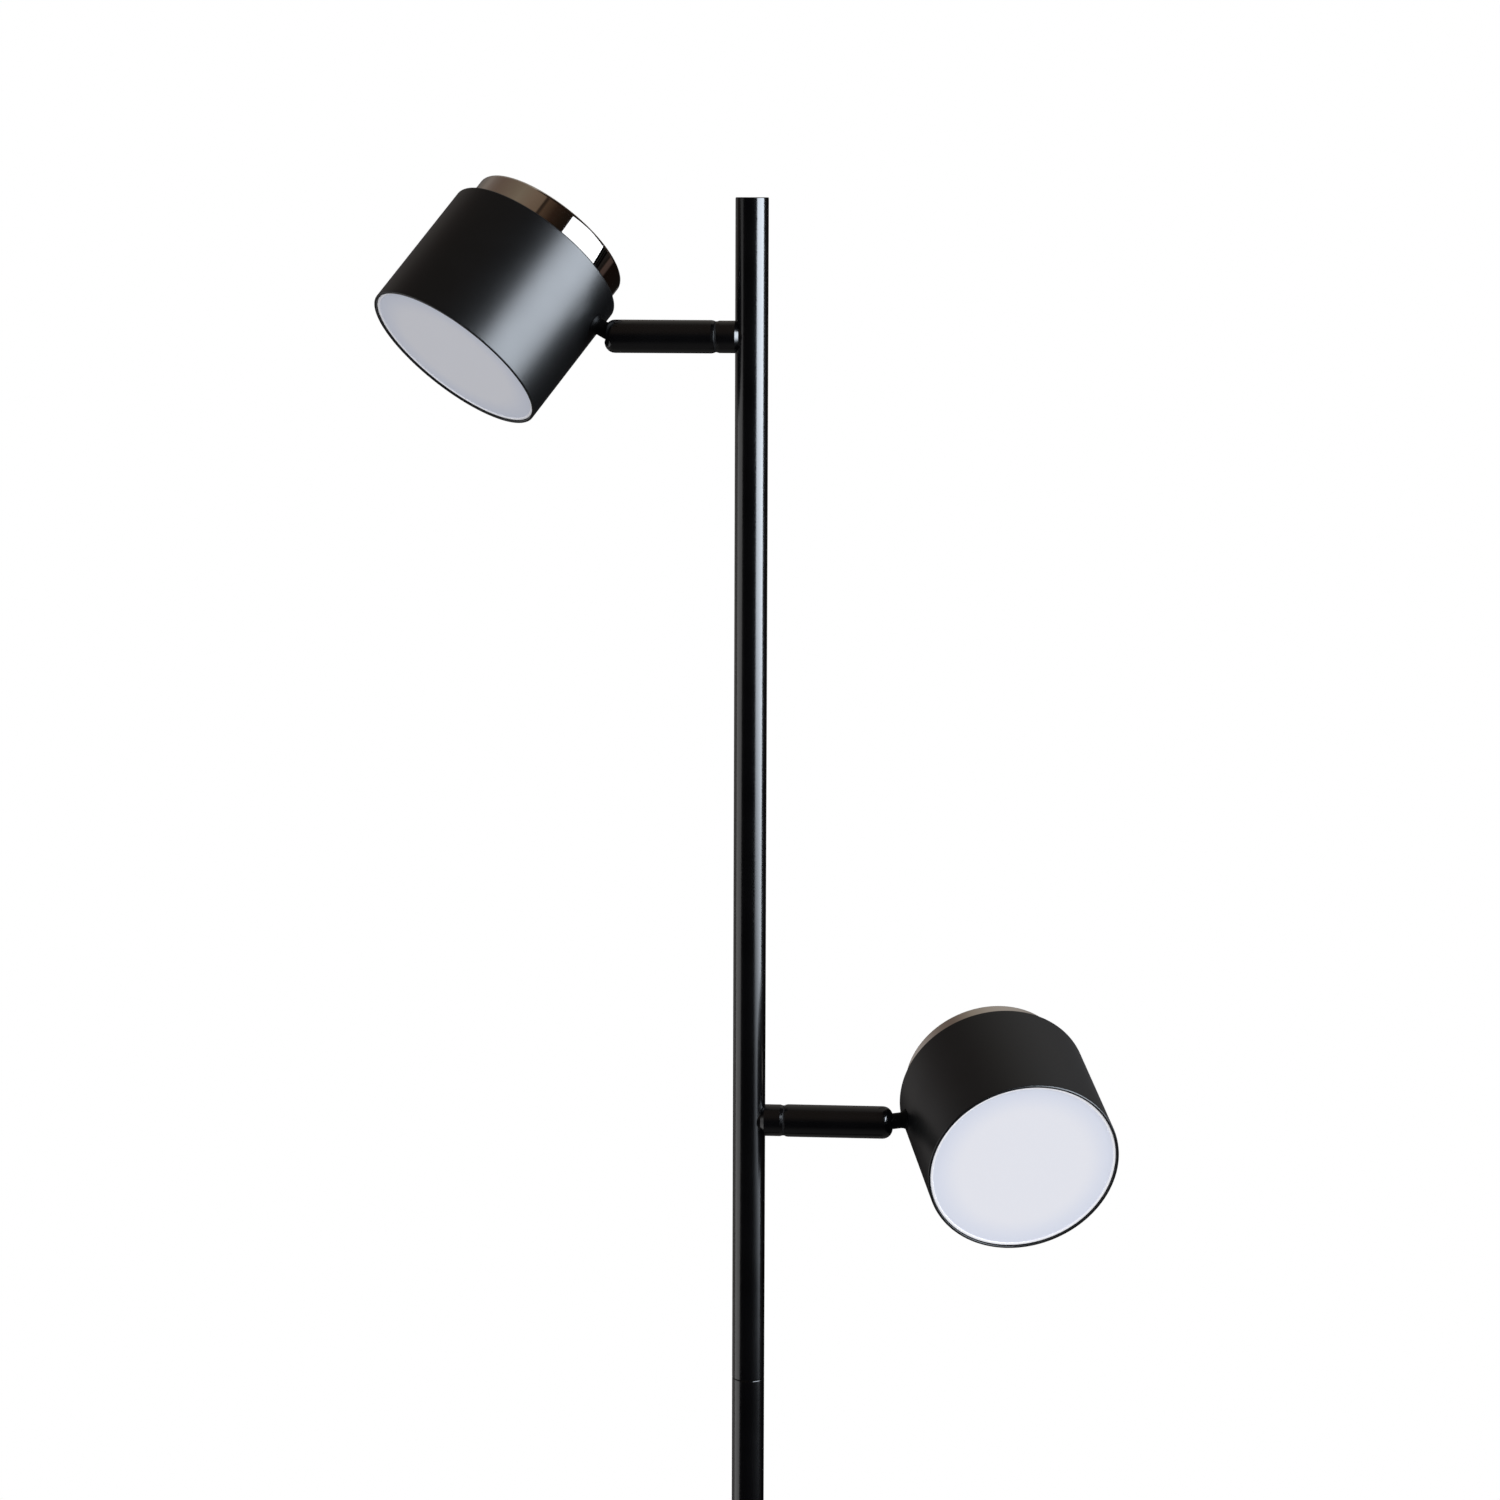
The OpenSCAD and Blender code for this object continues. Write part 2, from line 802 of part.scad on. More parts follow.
collar(UPPER);  // collar_upper
swivel_stud(UPPER);  // swivel_stud_upper
seam_washer(UPPER);  // seam_washer_upper
spring_washer(UPPER);  // spring_washer_upper
swivel_nut(UPPER);  // swivel_nut_upper
arm(UPPER);  // arm_upper
pivot_pin(UPPER, 1);  // pivot_pin_front_upper
pivot_pin(UPPER, -1);  // pivot_pin_back_upper
neck(UPPER);  // neck_upper
neck_nut(UPPER);  // neck_nut_upper
shell(UPPER);  // shell_upper
rear_cap(UPPER);  // rear_cap_upper
heat_sink(UPPER);  // heat_sink_upper
light_board(UPPER);  // light_board_upper
driver(UPPER);  // driver_upper
reflector(UPPER);  // reflector_upper
diffuser(UPPER);  // diffuser_upper

collar(LOWER);  // collar_lower
swivel_stud(LOWER);  // swivel_stud_lower
seam_washer(LOWER);  // seam_washer_lower
spring_washer(LOWER);  // spring_washer_lower
swivel_nut(LOWER);  // swivel_nut_lower
arm(LOWER);  // arm_lower
pivot_pin(LOWER, -1);  // pivot_pin_front_lower
pivot_pin(LOWER, 1);  // pivot_pin_back_lower
neck(LOWER);  // neck_lower
neck_nut(LOWER);  // neck_nut_lower
shell(LOWER);  // shell_lower
rear_cap(LOWER);  // rear_cap_lower
heat_sink(LOWER);  // heat_sink_lower
light_board(LOWER);  // light_board_lower
driver(LOWER);  // driver_lower
reflector(LOWER);  // reflector_lower
diffuser(LOWER);  // diffuser_lower
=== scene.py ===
# %% [markdown]
# # A floor lamp with two spotlights
#
# This lesson dresses a finished CAD model of a floor lamp. The CAD fixes every
# size and place, so nothing here has to be fitted by eye: we load it, build
# finer meshes over its plain solids, mix the finishes, and light the lamp like
# a product on a white page. Lengths are typed in millimetres and turned into
# Blender's metres in one place.

# %% Load the frame
import json
import math

import bmesh
import bpy
from mathutils import Matrix, Vector


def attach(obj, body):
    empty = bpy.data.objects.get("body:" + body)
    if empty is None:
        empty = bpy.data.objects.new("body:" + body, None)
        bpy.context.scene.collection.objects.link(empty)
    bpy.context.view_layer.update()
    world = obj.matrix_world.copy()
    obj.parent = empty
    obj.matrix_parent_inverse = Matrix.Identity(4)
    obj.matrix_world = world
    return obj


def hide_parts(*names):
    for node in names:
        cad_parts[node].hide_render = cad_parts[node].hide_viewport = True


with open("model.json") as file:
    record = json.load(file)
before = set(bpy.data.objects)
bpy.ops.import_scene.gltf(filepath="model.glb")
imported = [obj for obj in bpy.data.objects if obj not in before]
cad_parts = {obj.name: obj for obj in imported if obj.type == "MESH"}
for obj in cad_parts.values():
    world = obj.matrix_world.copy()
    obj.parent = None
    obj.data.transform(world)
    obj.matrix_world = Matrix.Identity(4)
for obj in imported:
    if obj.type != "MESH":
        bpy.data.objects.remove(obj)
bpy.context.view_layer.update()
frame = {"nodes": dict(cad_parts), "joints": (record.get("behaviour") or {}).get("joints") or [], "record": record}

# %% [markdown]
# ## The camera
#
# The lamp is seen from the front and slightly above its top, with a long
# lens, so that its lines stay nearly parallel. We could point the camera with
# a Track To constraint, but three plain turns say exactly how it stands: level
# it, tip it down, then roll it a fifth of a degree, because the pole leans
# that little in the picture.

# %% Place the camera
scene = bpy.context.scene
FOCAL_LENGTH, SENSOR = 95.007, 36.0
CAMERA_AT = (0.1467, -1.9052, 1.7653)
LOOK_DOWN, LOOK_LEFT, ROLL = 7.883, 4.4075, 0.2
lens = bpy.data.cameras.new("long_lens")
lens.lens, lens.sensor_width = FOCAL_LENGTH, SENSOR
camera = bpy.data.objects.new("camera", lens)
scene.collection.objects.link(camera)
camera.matrix_world = (
    Matrix.Translation(CAMERA_AT)
    @ Matrix.Rotation(math.radians(LOOK_LEFT), 4, "Z")
    @ Matrix.Rotation(math.radians(90 - LOOK_DOWN), 4, "X")
    @ Matrix.Rotation(math.radians(ROLL), 4, "Z"))
scene.camera = camera
scene.view_settings.view_transform = "Standard"
print("camera at", camera.location, "with a lens of", lens.lens, "mm")

# %% [markdown]
# ## Turned pieces
#
# Almost everything on this lamp comes off a lathe or a spinning press: tubes,
# washers, drums, cups. One could start from cylinder primitives and bevel
# them, but a lathe profile lets us say where each corner is soft and by how
# much. A profile is a closed list of (radius, height, corner radius).

# %% Round the corners of a profile
MM = 0.001


def rounded(profile, steps=7):
    """The profile's points as (radius, height), its soft corners as arcs."""
    line = []
    for i, (radius, height, soft) in enumerate(profile):
        corner = Vector((radius, height))
        if not soft:
            line.append(corner)
            continue
        before = Vector(profile[i - 1][:2]) - corner
        after = Vector(profile[(i + 1) % len(profile)][:2]) - corner
        half = before.angle(after) / 2
        inward = (before.normalized() + after.normalized()).normalized()
        centre = corner + inward * soft / math.sin(half)
        reach = soft / math.tan(half)
        start = corner + before.normalized() * reach - centre
        end = corner + after.normalized() * reach - centre
        sweep = start.angle_signed(end)
        for step in range(steps + 1):
            turn = Matrix.Rotation(-sweep * step / steps, 2)
            line.append(centre + turn @ start)
    return line


# %% Turn a profile about an axis
HERE = Matrix.Identity(4)


def put_in_scene(name, mesh_cells):
    """A new object made from a bmesh, all of its faces smooth."""
    mesh = bpy.data.meshes.new(name)
    bmesh.ops.recalc_face_normals(mesh_cells, faces=mesh_cells.faces)
    mesh_cells.to_mesh(mesh)
    mesh_cells.free()
    mesh.shade_smooth()
    piece = bpy.data.objects.new(name, mesh)
    scene.collection.objects.link(piece)
    return piece


def turned(name, profile, place=HERE, steps=128, reshape=None):
    """A lathe piece about the Z axis of place; reshape may move its points."""
    cells = bmesh.new()
    rings = []
    for radius, height in rounded(profile):
        count = 1 if radius < 1e-6 else steps
        ring = []
        for i in range(count):
            angle = 2 * math.pi * i / steps
            point = Vector((radius * math.cos(angle),
                            radius * math.sin(angle), height))
            if reshape:
                point = reshape(point)
            ring.append(cells.verts.new(place @ (point * MM)))
        rings.append(ring)
    for here, there in zip(rings, rings[1:] + rings[:1]):
        if len(here) == len(there) == 1:
            continue
        for i in range(steps):
            a, b = here[i % len(here)], here[(i + 1) % len(here)]
            c, d = there[(i + 1) % len(there)], there[i % len(there)]
            corners = list(dict.fromkeys((a, b, c, d)))
            cells.faces.new(corners)
    return put_in_scene(name, cells)


# %% [markdown]
# ## Cutting and joining
#
# A slot, a drilled hole or a brazed joint is easiest as a Boolean. Leaving the
# modifier on would recompute it at every pose, so we take its result as the
# mesh and throw the cutter away. Where two surfaces nearly touch, a Boolean
# can leave doubled points and faces without area, so points closer than a
# thousandth of a millimetre are merged. Corners that should look crisp are
# then marked by their angle, and a Weighted Normal modifier keeps wide faces
# flat right up to the soft corners beside them.

# %% Cut, join and mark the crisp corners
SAME_POINT = 0.001 * MM


def carve(piece, tool, how="DIFFERENCE"):
    """Cuts the tool out of the piece, joins it or keeps what they share."""
    boolean = piece.modifiers.new(how, "BOOLEAN")
    boolean.operation, boolean.object, boolean.solver = how, tool, "EXACT"
    graph = bpy.context.evaluated_depsgraph_get()
    result = bpy.data.meshes.new_from_object(piece.evaluated_get(graph))
    piece.modifiers.clear()
    cells = bmesh.new()
    cells.from_mesh(result)
    bmesh.ops.remove_doubles(cells, verts=cells.verts, dist=SAME_POINT)
    bmesh.ops.dissolve_degenerate(cells, edges=cells.edges, dist=SAME_POINT)
    cells.to_mesh(result)
    cells.free()
    piece.data = result
    bpy.data.objects.remove(tool)
    return piece


def crisp(piece, angle=32):
    """Splits the shading where faces meet at more than the angle."""
    piece.data.shade_smooth()
    piece.data.set_sharp_from_angle(angle=math.radians(angle))
    weighted = piece.modifiers.new("flat faces stay flat", "WEIGHTED_NORMAL")
    weighted.keep_sharp = True
    return piece


def rod(radius, start, end, place):
    """A plain round cutter along the Z axis of place."""
    return turned("cutter", [(0, start, 0), (radius, start, 0),
                             (radius, end, 0), (0, end, 0)], place, 96)


# %% [markdown]
# ## Where things sit
#
# Each arm turns about its own length, and each spotlight tilts in the arm's
# tip. The frame knows both joints: their places, their axes, and how far the
# spotlight is tilted from straight at rest. So we read them there and build a
# chain of matrices that says the same as the chain of metal: pole, arm,
# knuckle, spotlight. Inside a spotlight, height is measured from the front
# edge back.

# %% Frames along the metal
def turn(degrees, axis):
    return Matrix.Rotation(math.radians(degrees), 4, axis)


def shift(x, y, z):
    return Matrix.Translation(Vector((x, y, z)) * MM)


def on_pole(height, along, across):
    """A frame in the pole's middle: X along the metal, Y across it."""
    axes = Matrix((along, across, along.cross(across))).transposed()
    return shift(0, 0, height) @ axes.to_4x4()


ALONG_X = turn(90, "Y")
ALONG_Y = turn(-90, "X")
UP = Vector((0, 0, 1))
JOINTS = {joint["name"]: joint for joint in frame["joints"]}
PIVOT = abs(JOINTS["upper_head_tilt"]["pos_m"][0]) / MM
SHELL_R = 47.35
NECK_REACH = 12.0
FRONT_TO_NECK = 52.1
FRAMES = {}
for side in ("upper", "lower"):
    swivel, tilt = JOINTS[side + "_arm_swivel"], JOINTS[side + "_head_tilt"]
    along, across = Vector(swivel["axis"]), -Vector(tilt["axis"])
    height, straight = tilt["pos_m"][2] / MM, tilt["range_deg"][0]
    collar_frame = on_pole(height, along, UP.cross(along))
    arm_frame = on_pole(height, along, across)
    knuckle_frame = arm_frame @ shift(PIVOT, 0, 0) @ turn(straight, "Y")
    lamp_frame = knuckle_frame @ shift(
        NECK_REACH + SHELL_R, 0, -FRONT_TO_NECK)
    FRAMES[side] = (collar_frame, arm_frame, knuckle_frame, lamp_frame)
    print(side, "spotlight's front edge is centred at",
          [round(v, 4) for v in lamp_frame.translation])

# %% [markdown]
# ## Shader maths as plain sums
#
# A finish is a small network of nodes. Wiring it by hand takes many lines, so
# one class wraps an output socket and lets Python's own + - * build the Math
# nodes. Everything else comes from one method that makes any node: it first
# sets the node's own settings, then fills its sockets with numbers or wires.

# %% Wires and recipes
class Wire:
    """An output socket that can be used in a sum."""

    def __init__(self, recipe, socket):
        self.recipe, self.socket = recipe, socket

    def sum(self, operation, first, second):
        return self.recipe.add("ShaderNodeMath", {0: first, 1: second},
                               operation=operation)

    def __add__(self, other):
        return self.sum("ADD", self, other)

    def __sub__(self, other):
        return self.sum("SUBTRACT", self, other)

    def __rsub__(self, other):
        return self.sum("SUBTRACT", other, self)

    def __mul__(self, other):
        return self.sum("MULTIPLY", self, other)

    __radd__, __rmul__ = __add__, __mul__


class Recipe:
    """A node tree that nodes are added to."""

    def __init__(self, tree):
        self.tree = tree
        tree.nodes.clear()

    def add(self, kind, sockets=None, output=0, **settings):
        node = self.tree.nodes.new(kind)
        stops = settings.pop("stops", None)
        for name, value in settings.items():
            setattr(node, name, value)
        if stops:
            ramp = node.color_ramp.elements
            while len(ramp) < len(stops):
                ramp.new(0.5)
            for element, (place, colour) in zip(ramp, stops):
                element.position, element.color = place, (*colour, 1)
        for name, value in (sockets or {}).items():
            if isinstance(value, Wire):
                self.tree.links.new(value.socket, node.inputs[name])
            else:
                node.inputs[name].default_value = value
        return Wire(self, node.outputs[output]) if node.outputs else node

    def fade(self, value, start, end, low=0.0, high=1.0):
        """A smooth step of the value from low at start to high at end."""
        return self.add("ShaderNodeMapRange",
                        {"Value": value, "From Min": start, "From Max": end,
                         "To Min": low, "To Max": high},
                        interpolation_type="SMOOTHSTEP")

    def blend(self, factor, first, second):
        """A colour between two colours."""
        return self.add("ShaderNodeMix", {0: factor, 6: first, 7: second},
                        output=2, data_type="RGBA")


# %% [markdown]
# ## Paint on metal
#
# The lamp's black is powder paint: sprayed dust that melts into a skin. It
# never lies quite flat; at arm's length you see a soft, slightly stretched
# highlight, and close up the fine ripple called orange peel. Base colour alone
# can't show that. So noise at two scales drives a tiny bump, and a slower
# noise moves the roughness a little, as uneven melting does. The pieces were
# sprayed apart and differ: the tubes are the glossiest, the drums softer, the
# necks and the base nearly matt.

# %% Powder paint
def material(name):
    made = bpy.data.materials.new(name)
    made.use_nodes = True
    recipe = Recipe(made.node_tree)
    place = recipe.add("ShaderNodeTexCoord", output="Object")
    return made, recipe, place


def noise(recipe, place, size_mm, detail=2.0, rough=0.5):
    """Soft grain whose lumps are about this many millimetres across."""
    return recipe.add("ShaderNodeTexNoise",
                      {"Vector": place, "Scale": 1 / (size_mm * MM),
                       "Detail": detail, "Roughness": rough})


def surface(recipe, **sockets):
    """Ends a recipe in one principled shader."""
    named = {name.replace("_", " "): value for name, value in sockets.items()}
    shader = recipe.add("ShaderNodeBsdfPrincipled", named)
    recipe.add("ShaderNodeOutputMaterial", {"Surface": shader})


def bumps(recipe, height, depth_mm):
    return recipe.add("ShaderNodeBump",
                      {"Height": height, "Distance": depth_mm * MM})


def powder_paint(name, dark, light, roughness, gloss, peel_mm, peel_depth_mm):
    """Melted powder: two colours, roughness, gloss and its orange peel."""
    made, recipe, place = material(name)
    cloud = noise(recipe, place, 24, 3)
    peel = noise(recipe, place, peel_mm) + 0.35 * noise(
        recipe, place, peel_mm / 4)
    dust = noise(recipe, place, 0.9, 4, 0.7)
    specks = recipe.fade(dust, 0.72, 0.80)
    surface(recipe,
            Base_Color=recipe.blend(
                recipe.fade(cloud, 0.3, 0.7, 0, 0.8) + 0.2 * specks,
                (*dark, 1), (*light, 1)),
            Roughness=roughness - 0.04 + 0.08 * cloud + 0.04 * specks,
            Specular_IOR_Level=gloss,
            Normal=bumps(recipe, peel, peel_depth_mm))
    return made


tube_paint = powder_paint("satin_black_tube_paint", (0.0009, 0.0009, 0.0013),
                          (0.0014, 0.0014, 0.0019), 0.19, 0.38, 1.6, 0.0006)
drum_paint = powder_paint("soft_black_drum_paint", (0.0010, 0.0013, 0.0019),
                          (0.0015, 0.0019, 0.0026), 0.37, 0.285, 1.4, 0.003)
neck_paint = powder_paint("matt_black_neck_paint", (0.0009, 0.0009, 0.0013),
                          (0.0014, 0.0014, 0.0019), 0.46, 0.05, 0.8, 0.001)
base_paint = powder_paint("matt_black_base_paint", (0.0040, 0.0040, 0.0046),
                          (0.0062, 0.0062, 0.0070), 0.40, 0.3, 1.2, 0.010)
print("powder paints:", tube_paint.name, drum_paint.name, neck_paint.name,
      base_paint.name)

# %% [markdown]
# ## Bright metal
#
# The caps behind the drums are drawn from sheet and plated with black nickel,
# a chrome with a warm grey cast. A mirror looks real through small faults: a
# very faint grain, and a breath of haze that comes and goes. The same recipe
# with more grain makes the zinc, iron and aluminium inside the lamp.

# %% Plated and bare metals
def metal(name, colour, tint, roughness, grain_mm, grain_depth_mm,
          stretch=(1, 1, 1), cloud_mm=9):
    """A metal whose grain may be stretched along an axis."""
    made, recipe, place = material(name)
    stretched = recipe.add("ShaderNodeMapping",
                           {"Vector": place, "Scale": stretch})
    cloud = noise(recipe, place, cloud_mm, 3)
    grain = noise(recipe, stretched, grain_mm, 3, 0.6)
    surface(recipe,
            Base_Color=recipe.blend(cloud, (*colour, 1), (*tint, 1)),
            Metallic=1.0,
            Roughness=roughness * (0.7 + 0.4 * cloud + 0.2 * grain),
            Normal=bumps(recipe, grain, grain_depth_mm))
    return made


black_nickel = metal("polished_black_nickel", (0.60, 0.55, 0.50),
                     (0.66, 0.61, 0.57), 0.035, 0.5, 0.0002)
zinc = metal("zinc_plated_steel", (0.50, 0.51, 0.53), (0.62, 0.62, 0.60),
             0.34, 0.35, 0.01)
iron = metal("primed_cast_iron", (0.075, 0.075, 0.078), (0.11, 0.11, 0.11),
             0.62, 1.3, 0.12, cloud_mm=14)
aluminium = metal("plain_aluminium", (0.70, 0.71, 0.72), (0.78, 0.78, 0.78),
                  0.30, 0.3, 0.008, stretch=(1, 1, 6))
print("metals:", black_nickel.name, zinc.name, iron.name, aluminium.name)

# %% [markdown]
# ## Plastics, rubber and white paint
#
# The diffuser is opal acrylic: milky all through, its face satin. Light that
# enters it comes out a little further on, so the middle looks warmer and the
# edge bluer and darker, and the lip round it catches the most light. A
# subsurface shader would do that slowly; here the light and shade are painted
# into the colour instead, which looks the same and bakes well: painted shade
# darkens the colour and turns it bluer with the distance from the disc's axis,
# and a painted highlight turns the lip white.

# %% Moulded finishes
def moulded(name, colour, tint, roughness, grain_mm, grain_depth_mm, **more):
    """Plastic or rubber: a mottled colour and a fine moulded grain."""
    made, recipe, place = material(name)
    cloud = noise(recipe, place, 12, 3)
    grain = noise(recipe, place, grain_mm, 2)
    surface(recipe,
            Base_Color=recipe.blend(cloud, (*colour, 1), (*tint, 1)),
            Roughness=roughness - 0.05 + 0.1 * cloud,
            Normal=bumps(recipe, grain, grain_depth_mm), **more)
    return made


rubber = moulded("black_rubber_pad", (0.018, 0.018, 0.018),
                 (0.028, 0.027, 0.026), 0.78, 0.8, 0.05)
black_plastic = moulded("black_moulded_plastic", (0.010, 0.010, 0.011),
                        (0.014, 0.014, 0.015), 0.48, 0.35, 0.006,
                        Specular_IOR_Level=0.1)
white_plastic = moulded("white_moulded_plastic", (0.80, 0.80, 0.78),
                        (0.84, 0.84, 0.83), 0.38, 0.5, 0.004)
white_paint = moulded("matt_white_paint", (0.83, 0.83, 0.82),
                      (0.87, 0.87, 0.86), 0.6, 0.7, 0.008)
print("moulded:", rubber.name, black_plastic.name, white_plastic.name)

# %% Opal acrylic, for a disc at a given place
# Painted highlight: the white that the lip's ring is coloured with, standing for the light it catches.
PAINTED_LIP_HIGHLIGHT = (0.98, 0.98, 0.99)


def opal(name, middle, shade_colour, place_matrix):
    """Milky acrylic: painted shade from its middle to its edge, and a painted highlight on its lip."""
    made, recipe, place = material(name)
    centre = place_matrix.translation
    radius = recipe.add("ShaderNodeVectorMath",
                        {0: place, 1: centre}, output=1,
                        operation="DISTANCE")
    # Painted shade: the colour darkens and turns bluer towards the disc's edge.
    edge_shade = recipe.fade(radius, 30 * MM, 45 * MM)
    # Painted highlight: a thin ring over the lip turns white.
    lip_highlight = recipe.fade(radius, 44.4 * MM, 44.9 * MM)
    cloud = noise(recipe, place, 18, 2)
    grain = noise(recipe, place, 0.25, 2)
    edge_shaded = recipe.blend(edge_shade - 0.06 + 0.12 * cloud,
                          (*middle, 1), (*shade_colour, 1))
    surface(recipe,
            Base_Color=recipe.blend(lip_highlight, edge_shaded, (*PAINTED_LIP_HIGHLIGHT, 1)),
            Roughness=0.42 + 0.06 * cloud, Specular_IOR_Level=0.2,
            Normal=bumps(recipe, grain, 0.002))
    return made


# %% [markdown]
# ## The base
#
# A pressed steel cover over a cast disc, on a soft pad. The cover is one
# profile: flat top, generous edge, straight skirt. The cord leaves through a
# flanged bushing whose flanges must follow the round wall, so its points are
# slid along the wall's own circle.

# %% Base cover, pad, foot washer
BASE_R, BASE_TOP, SHEET = 140.0, 20.0, 1.2
INNER_R, INNER_TOP = BASE_R - SHEET, BASE_TOP - SHEET
PAD_R, PAD_TOP = 132.0, 2.0
STUD_ROOM, TRIM_R, POLE_FOOT = 5.15, 13.0, 21.5
INLET_R, INLET = 4.2, shift(0, 0, 9.0375) @ ALONG_Y


def dress(piece, body, finish, slot, *nodes):
    """Paints a piece, hangs it on its body and hides what it stands for."""
    piece.data.materials.clear()
    piece.data.materials.append(finish)
    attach(piece, body)
    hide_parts(*nodes)
    print("made", piece.name, "with", len(piece.data.polygons), "faces")
    return piece


cover = turned("cover_shell", [
    (STUD_ROOM, BASE_TOP, 0.2), (60, BASE_TOP, 0), (110, BASE_TOP, 0),
    (BASE_R, BASE_TOP, 5), (BASE_R, 12, 0), (BASE_R, PAD_TOP, 0.3),
    (INNER_R, PAD_TOP, 0.3), (INNER_R, INNER_TOP, 3.8),
    (STUD_ROOM, INNER_TOP, 0)], steps=256)
carve(cover, rod(INLET_R, BASE_R - 10, BASE_R + 10, INLET))
dress(crisp(cover), "stand", base_paint, "black_paint", "base_cover")

pad = turned("floor_pad", [(0, 0, 0), (PAD_R, 0, 0.5), (PAD_R, PAD_TOP, 0.5),
                           (0, PAD_TOP, 0)], steps=192)
dress(crisp(pad), "stand", rubber, "black_rubber", "base_pad")

washer = turned("foot_trim", [
    (STUD_ROOM, BASE_TOP, 0), (TRIM_R, BASE_TOP, 0.1),
    (TRIM_R, POLE_FOOT, 0.4), (STUD_ROOM, POLE_FOOT, 0.1)])
dress(crisp(washer), "stand", tube_paint, "black_paint", "foot_washer")


# %% Cord bushing
CORD_ROOM, WAIST_R, FLANGE_R, FLANGE = 3.0, 4.15, 5.75, 1.4


def follow_wall(point):
    """Slides a point of the bushing so that its flanges hug the wall."""
    bow = BASE_R - math.sqrt(BASE_R ** 2 - point.x ** 2)
    return Vector((point.x, point.y, point.z - bow))


bushing = turned("cord_bushing_rubber", [
    (CORD_ROOM, INNER_R - FLANGE, 0.3), (FLANGE_R, INNER_R - FLANGE, 0.4),
    (FLANGE_R, INNER_R, 0), (WAIST_R, INNER_R, 0),
    (WAIST_R, BASE_R, 0), (FLANGE_R, BASE_R, 0),
    (FLANGE_R, BASE_R + FLANGE, 0.5), (CORD_ROOM, BASE_R + FLANGE, 0.4)],
    INLET, 96, follow_wall)
dress(crisp(bushing), "stand", rubber, "black_rubber", "cord_bushing")

# %% [markdown]
# ## The pole
#
# Three equal tubes screwed end to end. Each tube's ends are broken by half a
# millimetre, and two such ends together make the fine dark line of a seam, so
# no separate groove is drawn. The top tube is drilled for the arms' studs; the
# drilling stays local because the profile has extra rings near each arm.

# %% Pole sections and top plug
POLE_R, BORE_R, SECTION = 8.0, 6.8, 582.0
STUD_HOLE_R, COLLAR_END = 4.03, 17.0
arm_heights = sorted(collar_frame.translation.z / MM
                     for collar_frame, *_ in FRAMES.values())
top = POLE_FOOT
for name in ("lower", "middle", "upper"):
    bottom, top = top, top + SECTION
    rings = [height + step for height in arm_heights
             for step in (-30, -9, 9, 30) if bottom < height < top]
    tube = turned("tube_" + name, [
        (BORE_R, bottom, 0), (POLE_R, bottom, 0.5),
        *[(POLE_R, height, 0) for height in rings], (POLE_R, top, 0.5),
        (BORE_R, top, 0.15), *[(BORE_R, height, 0) for height in rings[::-1]]])
    if name == "upper":
        for collar_frame, *_ in FRAMES.values():
            carve(tube, rod(STUD_HOLE_R, 2, COLLAR_END,
                            collar_frame @ ALONG_X))
    dress(crisp(tube), "stand", tube_paint, "black_paint", "pole_" + name)

PLUG_R, PLUG_DEEP, SUNK = 6.77, 8.0, 0.3
plug_top = top - SUNK
plug = turned("end_plug", [
    (0, plug_top - PLUG_DEEP, 0), (PLUG_R, plug_top - PLUG_DEEP, 0.3),
    (PLUG_R, plug_top, 0.5), (6.0, plug_top, 0.3),
    (5.6, plug_top - SUNK, 0.3), (0, plug_top - SUNK, 0)])
dress(crisp(plug), "stand", black_plastic, "black_plastic", "top_plug")

# %% [markdown]
# ## Collars, washers and arms
#
# Each arm starts at a short collar, saddle-cut to the pole and brazed to it.
# A thin washer shows in the seam where the arm turns, between two small
# bevels. The arm's round tip is slotted, upward and outward only, for the
# spotlight's neck to swing from straight to square.

# %% A slot through a tip
SLOT_R, SLOT_HALF, FAR_OUT = 4.15, 4.05, 32.0


def slot_cutter(place):
    """The room that the neck sweeps, as a prism across the arm."""
    outline = [(-SLOT_R, FAR_OUT)]
    for step in range(25):
        angle = math.pi * (1 + step / 48)
        outline.append((SLOT_R * math.cos(angle), SLOT_R * math.sin(angle)))
    outline += [(FAR_OUT, -SLOT_R), (FAR_OUT, FAR_OUT)]
    cells = bmesh.new()
    walls = [[cells.verts.new(place @ (Vector((x, y, z)) * MM))
              for x, z in outline] for y in (-SLOT_HALF, SLOT_HALF)]
    cells.faces.new(walls[0])
    cells.faces.new(walls[1][::-1])
    for i in range(len(outline)):
        j = (i + 1) % len(outline)
        cells.faces.new((walls[0][i], walls[0][j], walls[1][j], walls[1][i]))
    return put_in_scene("cutter", cells)


